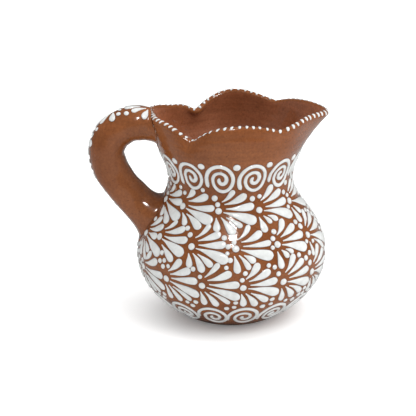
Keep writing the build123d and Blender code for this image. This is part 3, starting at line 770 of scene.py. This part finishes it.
def fill_with_dots(layout, slip):
    """Dots in the gaps that are left, tried in random order."""
    spots = [(arc, angle) for arc in np.arange(FILL_FROM, FILL_TO, FILL_STEP)
             for angle in np.arange(-180, 180, math.degrees(FILL_STEP / wall_radius(arc)))]
    for arc, angle in RANDOM.permutation(spots):
        size = FILL_DOT * RANDOM.uniform(0.85, 1.1)
        if layout.take_spot(angle, arc, size, FILL_GAP):
            add_dot(slip, wall_patch(angle, arc), 0, 0, size, SMALL_DOT_HEIGHT)


def decorate_wall():
    """Lays all the marks on the wall, and returns one slip mesh for each kind."""
    kinds = {name: Slip() for name in ("neck_scrolls", "neck_dots", "base_scrolls", "base_dots",
                                       "belly_hearts", "belly_petals", "belly_dots")}
    layout = Layout()
    for arc, radius in JOINT_KEEP_OUT:
        layout.take_spot(180, arc, radius, ANYWAY)
    lay_scrolls(layout, kinds["neck_scrolls"], NECK_SCROLLS)
    lay_scrolls(layout, kinds["base_scrolls"], BASE_SCROLLS)
    lay_dots(layout, kinds["neck_dots"], NECK_DOTS)
    lay_dots(layout, kinds["base_dots"], BASE_DOTS)
    fans = lay_hearts(layout, kinds["belly_hearts"])
    lay_petals(layout, kinds["belly_petals"], fans)
    lay_fan_dots(layout, kinds["belly_dots"], fans)
    fill_with_dots(layout, kinds["belly_dots"])
    return kinds


# ---------------------------------------------------------------- strokes on the lip and the handle
RIM_DASH_PITCH = 4.7
RIM_DASH_WIDTH = 2.0
RIM_DASH_REACH = 1.95       # half a stroke's length over the lip
RIM_DASH_SHIFT = -0.5       # moves the strokes outward from the lip's crest
RIM_DASH_SKEW = 0.5
RIM_DASH_HEIGHT = 0.5
RIM_OVERLAP = 0.2           # radians of the lip measured twice, past its start and end


def dash_rim():
    """Short strokes laid across the lip, a little askew."""
    slip = Slip()
    fine = np.linspace(-RIM_OVERLAP, TURN + RIM_OVERLAP, 1601)
    point, normal, up = skin_frame(fine, np.full(len(fine), ARC[-1]))
    length = lengths_along(point - LIP_RADIUS * normal + LIP_RADIUS * up)
    first, last = np.interp([0, TURN], fine, length)
    count = int((last - first) / RIM_DASH_PITCH)
    t = 2 * crowded_ends(15) - 1
    for k in range(count):
        middle = first + (k + 0.5 + RANDOM.normal(0, 0.06)) * (last - first) / count
        reach = RIM_DASH_REACH * RANDOM.uniform(0.88, 1.1)
        skew = RIM_DASH_SKEW + RANDOM.normal(0, 0.12)
        spine = np.stack([t * skew, t * reach + RIM_DASH_SHIFT], axis=-1)
        half = RIM_DASH_WIDTH / 2 * RANDOM.uniform(0.85, 1.12)
        widths = np.maximum(half * np.sqrt(np.clip(1 - np.abs(t) ** 2.6, 0, 1)), FINEST)
        heights = RIM_DASH_HEIGHT * np.clip(widths / half, 0, 1) ** 0.7
        ribbon(slip, lip_patch(length, fine, middle), spine, widths, heights)
    return slip


HANDLE_GROUP_STEP = 25.0
HANDLE_GROUPS = 5
# One group on one side of the spine: (tail down, tail across, tip down, tip across, head width, bow).
HANDLE_PETALS = [
    (15.0, 2.0, 25.8, 3.6, 3.4, 0.0), (10.6, 3.0, 20.6, 8.0, 4.0, -0.03), (9.2, 4.0, 12.2, 12.2, 4.9, 0.05),
]
HANDLE_PETAL_HEIGHT = 0.85
# (down, across, radius)
HANDLE_DOTS = [(24.9, 8.9, 1.7), (30.4, 8.0, 1.6), (29.1, 3.6, 1.4)]
HANDLE_DOT_HEIGHT = 0.8


def decorate_handle():
    """Groups of petals and dots down the handle's outer side, alike left and right of its spine."""
    petals, dots = Slip(), Slip()
    for group in range(HANDLE_GROUPS):
        for side in (1, -1):
            patch = handle_patch(HANDLE_GROUP_STEP * group, side)
            for tail_down, tail_across, tip_down, tip_across, width, bow in HANDLE_PETALS:
                grow = RANDOM.uniform(0.94, 1.06)
                slide = RANDOM.normal(0, 0.25)
                tail = (tail_down + slide, tail_across)
                tip = (tip_down + slide, tip_across)
                add_teardrop(petals, patch, tail, tip, width * grow, bow, HANDLE_PETAL_HEIGHT)
            for down, across, radius in HANDLE_DOTS:
                slid = down + RANDOM.normal(0, 0.2)
                size = radius * RANDOM.uniform(0.9, 1.1)
                add_dot(dots, patch, slid, across, size, HANDLE_DOT_HEIGHT)
    return petals, dots


# ---------------------------------------------------------------- materials
CLAY_MID = (0.160, 0.0465, 0.0125)
CLAY_LIGHT = (0.236, 0.080, 0.0265)
SLIP_EDGE_POOL_AND_SHADE = (0.085, 0.024, 0.008)    # clay through thin slip and pooled glaze at each mark's edge, darkened further as painted shade in the crease round the mark
INSIDE_PAINTED_LIGHT = (1.33, 1.42, 2.1)     # painted light: the inside of the pot painted paler, standing in for light that reaches into it
SLIP_GREY = (0.56, 0.57, 0.56)
SLIP_WHITE = (0.66, 0.675, 0.67)
# Streaks run round the thrown body, and along the pulled handle.
BODY_STREAKS = (14.0, 14.0, 330.0)
HANDLE_STREAKS = (150.0, 150.0, 26.0)
GLAZE = 0.9                         # weight of the clear glaze's coat
UNDER_GLAZE_SHINE = 0.12            # specular level of fired clay and slip under the glaze
GRAIN_HEIGHT = 0.0006
SLIP_GRAIN_HEIGHT = 0.0005


def new_material(name):
    material = bpy.data.materials.new(name)
    material.use_nodes = True
    tree = material.node_tree
    shader = tree.nodes["Principled BSDF"]
    return material, tree, shader


def object_coordinates(tree):
    return tree.nodes.new("ShaderNodeTexCoord").outputs["Object"]


def attribute(tree, name):
    made = tree.nodes.new("ShaderNodeAttribute")
    made.attribute_name = name
    return made.outputs["Fac"]


def noise(tree, coords, scale, detail=4.0):
    made = tree.nodes.new("ShaderNodeTexNoise")
    made.inputs["Scale"].default_value = scale
    made.inputs["Detail"].default_value = detail
    made.inputs["Roughness"].default_value = 0.55
    tree.links.new(coords, made.inputs["Vector"])
    return made.outputs["Fac"]


def ramp(tree, value, stops):
    """Colours, or greys given as one number, at places along a value."""
    made = tree.nodes.new("ShaderNodeValToRGB")
    elements = made.color_ramp.elements
    while len(elements) < len(stops):
        elements.new(0.5)
    for element, (place, colour) in zip(elements, stops):
        rgb = (colour,) * 3 if isinstance(colour, float) else colour
        element.position = place
        element.color = (*rgb, 1.0)
    tree.links.new(value, made.inputs["Fac"])
    return made.outputs["Color"]


def mix(tree, factor, first, second, mode="MIX"):
    """Blends two colours; each value is a plain one or another node's socket."""
    made = tree.nodes.new("ShaderNodeMix")
    made.data_type = "RGBA"
    made.blend_type = mode
    sockets = {(socket.name, socket.type): socket for socket in made.inputs}
    for target, value in (("Factor", "VALUE"), factor), (("A", "RGBA"), first), (("B", "RGBA"), second):
        if isinstance(value, bpy.types.NodeSocket):
            tree.links.new(value, sockets[target])
        elif isinstance(value, tuple):
            sockets[target].default_value = (*value, 1.0)
        else:
            sockets[target].default_value = value
    return next(socket for socket in made.outputs if socket.type == "RGBA")


def bump(tree, height, strength, distance=GRAIN_HEIGHT):
    made = tree.nodes.new("ShaderNodeBump")
    made.inputs["Strength"].default_value = strength
    made.inputs["Distance"].default_value = distance
    tree.links.new(height, made.inputs["Height"])
    return made


def glaze(shader, roughness):
    shader.inputs["Coat Weight"].default_value = GLAZE
    shader.inputs["Coat Roughness"].default_value = roughness
    shader.inputs["Coat IOR"].default_value = 1.5


def clay_colour(tree, coords, streaks):
    """Cloudy terracotta with streaks, iron specks and a fine mottle, and the inside painted paler as
    painted light.
    """
    colour = ramp(tree, noise(tree, coords, 28.0, 5.0), [(0.3, CLAY_MID), (0.72, CLAY_LIGHT)])
    streak_tint = ramp(tree, noise(tree, streaks, 1.0), [(0.35, 0.82), (0.65, 1.1)])
    colour = mix(tree, 0.45, colour, streak_tint, "MULTIPLY")
    speck_tint = ramp(tree, noise(tree, coords, 900.0, 2.0), [(0.27, 0.45), (0.36, 1.0)])
    colour = mix(tree, 0.8, colour, speck_tint, "MULTIPLY")
    mottle = ramp(tree, noise(tree, coords, 650.0, 3.0), [(0.3, 0.84), (0.7, 1.13)])
    colour = mix(tree, 1.0, colour, mottle, "MULTIPLY")
    # the inside painted paler: painted light
    return mix(tree, attribute(tree, "inside"), colour, INSIDE_PAINTED_LIGHT, "MULTIPLY")


def clay_material(name, streak_scale):
    """Terracotta under a clear glaze, with throwing or pulling streaks and a fine grain."""
    material, tree, shader = new_material(name)
    coords = object_coordinates(tree)
    stretch = tree.nodes.new("ShaderNodeMapping")
    stretch.inputs["Scale"].default_value = streak_scale
    tree.links.new(coords, stretch.inputs["Vector"])
    streaks = stretch.outputs["Vector"]
    tree.links.new(clay_colour(tree, coords, streaks), shader.inputs["Base Color"])
    roughness = ramp(tree, noise(tree, coords, 60.0, 3.0), [(0.3, 0.16), (0.7, 0.30)])
    tree.links.new(roughness, shader.inputs["Roughness"])
    shader.inputs["Specular IOR Level"].default_value = UNDER_GLAZE_SHINE
    glaze(shader, 0.035)
    grain = bump(tree, noise(tree, coords, 520.0, 5.0), 0.22)
    relief = bump(tree, noise(tree, streaks, 1.0, 3.0), 0.3)
    tree.links.new(grain.outputs["Normal"], relief.inputs["Normal"])
    tree.links.new(relief.outputs["Normal"], shader.inputs["Normal"])
    ripple = bump(tree, noise(tree, coords, 420.0, 2.0), 0.13)
    tree.links.new(ripple.outputs["Normal"], shader.inputs["Coat Normal"])
    return material


def slip_material():
    """White slip under the glaze: full white where thick; where thin, clay and pooled glaze show, darkened
    further as painted shade in the crease round each mark.
    """
    material, tree, shader = new_material("white_slip")
    coords = object_coordinates(tree)
    white = ramp(tree, noise(tree, coords, 240.0), [(0.3, SLIP_GREY), (0.7, SLIP_WHITE)])
    strength = ramp(tree, attribute(tree, "cover"), [(0.12, 0.0), (0.5, 0.75), (0.9, 1.0)])
    # low cover gives a dark brown edge: clay and pooled glaze, plus painted shade in the crease round the
    # mark
    tree.links.new(mix(tree, strength, SLIP_EDGE_POOL_AND_SHADE, white), shader.inputs["Base Color"])
    shader.inputs["Roughness"].default_value = 0.3
    shader.inputs["Specular IOR Level"].default_value = UNDER_GLAZE_SHINE
    glaze(shader, 0.03)
    relief = bump(tree, noise(tree, coords, 420.0, 3.0), 0.15, SLIP_GRAIN_HEIGHT)
    tree.links.new(relief.outputs["Normal"], shader.inputs["Normal"])
    return material


def joint_material():
    """Joining slip wiped flat over the seam: the clay's own colours, without its streaks and specks."""
    material, tree, shader = new_material("joining_slip")
    coords = object_coordinates(tree)
    colour = ramp(tree, noise(tree, coords, 180.0), [(0.3, CLAY_MID), (0.75, CLAY_LIGHT)])
    tree.links.new(colour, shader.inputs["Base Color"])
    shader.inputs["Roughness"].default_value = 0.25
    glaze(shader, 0.05)
    relief = bump(tree, noise(tree, coords, 350.0, 3.0), 0.25)
    tree.links.new(relief.outputs["Normal"], shader.inputs["Normal"])
    return material


# ---------------------------------------------------------------- stage
FLOOR_CORNERS = [(-4000, -4000, 0), (4000, -4000, 0), (4000, 6000, 0), (-4000, 6000, 0)]
FLOOR_DROP = 0.0004         # metres below the foot
FLOOR_GLOW = 0.12           # lifts the contact shadow a little, as seen by the camera only
FLOOR_MIRRORED = (0.3, 0.3, 0.3)    # the floor as the glaze mirrors it
WORLD_DIFFUSE = 0.88
WORLD_GLOSSY = 0.14
# Soft boxes aimed at the target, in metres and watts:
# (compass angle, angle above the floor, distance, width, height, power).
LIGHT_TARGET = (0.0, 0.0, 0.075)
LIGHTS = {
    "key": (-20.0, 54.0, 1.2, 1.4, 1.0, 10.0),
    "right": (-12.0, 14.0, 1.4, 1.0, 1.0, 4.0),
    "window": (-88.0, 48.0, 1.25, 0.16, 0.24, 6.5),
    "top": (150.0, 80.0, 1.3, 0.9, 0.9, 5.4),
}
MIRRORED = "window"         # seen only as a highlight in the glaze; the others only light
CAMERA_PLACE = (0.0, -1.0401, 0.4181)
CAMERA_TARGET = (-0.0159, 0.0047, 0.0737)
CAMERA_ROLL = -0.715        # degrees
CAMERA_LENS = 136.56


def is_ray(tree, kind):
    return tree.nodes.new("ShaderNodeLightPath").outputs["Is %s Ray" % kind]


def switch(tree, kind, usual, for_that_kind):
    """One strength for most rays and another for one kind of ray."""
    made = tree.nodes.new("ShaderNodeMapRange")
    made.inputs["To Min"].default_value = usual
    made.inputs["To Max"].default_value = for_that_kind
    tree.links.new(is_ray(tree, kind), made.inputs["Value"])
    return made.outputs["Result"]


def make_floor():
    """A plain pale floor, which the glaze mirrors darker than the camera sees it."""
    floor = new_piece("floor", FLOOR_CORNERS, [(0, 1, 2, 3)], smooth=False)
    floor.location.z = -FLOOR_DROP
    material, tree, shader = new_material("pale_floor")
    pale = ramp(tree, noise(tree, object_coordinates(tree), 3.0, 2.0), [(0.3, 0.96), (0.7, 0.98)])
    seen = mix(tree, is_ray(tree, "Glossy"), pale, FLOOR_MIRRORED)
    tree.links.new(seen, shader.inputs["Base Color"])
    tree.links.new(switch(tree, "Camera", 0.0, FLOOR_GLOW), shader.inputs["Emission Strength"])
    shader.inputs["Emission Color"].default_value = (1.0, 1.0, 1.0, 1.0)
    shader.inputs["Roughness"].default_value = 0.9
    floor.data.materials.append(material)


def make_world():
    """An even white surround, mirrored only faintly."""
    world = bpy.data.worlds.new("studio")
    world.use_nodes = True
    tree = world.node_tree
    background = tree.nodes["Background"]
    background.inputs["Color"].default_value = (1.0, 1.0, 1.0, 1.0)
    strength = switch(tree, "Glossy", WORLD_DIFFUSE, WORLD_GLOSSY)
    tree.links.new(strength, background.inputs["Strength"])
    bpy.context.scene.world = world
    bpy.context.scene.view_settings.view_transform = "Standard"


def aim(thing, target, roll=0.0):
    """Points an object's -Z at a target, with +Y up, then rolls it."""
    direction = mathutils.Vector(target) - mathutils.Vector(thing.location)
    turn = direction.to_track_quat("-Z", "Y")
    thing.rotation_mode = "QUATERNION"
    thing.rotation_quaternion = turn @ mathutils.Quaternion((0, 0, 1), roll)


def make_light(name, azimuth, height, distance, width, tall, power):
    light = bpy.data.lights.new(name, "AREA")
    light.shape = "RECTANGLE"
    light.size = width
    light.size_y = tall
    light.energy = power
    lamp = bpy.data.objects.new(name, light)
    azimuth, height = math.radians(azimuth), math.radians(height)
    level = distance * math.cos(height)
    lamp.location = (level * math.cos(azimuth), level * math.sin(azimuth),
                     LIGHT_TARGET[2] + distance * math.sin(height))
    aim(lamp, LIGHT_TARGET)
    lamp.visible_glossy = name == MIRRORED
    lamp.visible_diffuse = name != MIRRORED
    bpy.context.scene.collection.objects.link(lamp)


def make_camera():
    camera_data = bpy.data.cameras.new("camera")
    camera_data.sensor_width = 36.0
    camera_data.lens = CAMERA_LENS
    camera = bpy.data.objects.new("camera", camera_data)
    camera.location = CAMERA_PLACE
    aim(camera, CAMERA_TARGET, math.radians(CAMERA_ROLL))
    bpy.context.scene.collection.objects.link(camera)
    bpy.context.scene.camera = camera


# ---------------------------------------------------------------- build
def dress(piece, node, material):
    """Gives a piece its material and puts it in the place of its CAD node."""
    piece.data.materials.append(material)
    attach(piece, "root")
    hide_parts(node)


slip = slip_material()
dress(make_body(), "body", clay_material("glazed_terracotta", BODY_STREAKS))
dress(make_handle(), "handle", clay_material("glazed_terracotta_handle", HANDLE_STREAKS))
marks = decorate_wall()
marks["rim_dashes"] = dash_rim()
marks["handle_petals"], marks["handle_dots"] = decorate_handle()
for kind, laid in marks.items():
    dress(laid.finish(kind + "_slip"), kind, slip)
film = joint_material()
dress(make_smear("upper_joint_smear", UPPER_JOINT), "upper_joint_slip", film)
dress(make_smear("lower_joint_smear", LOWER_JOINT), "lower_joint_slip", film)

make_floor()
make_world()
for name, box in LIGHTS.items():
    make_light(name, *box)
make_camera()
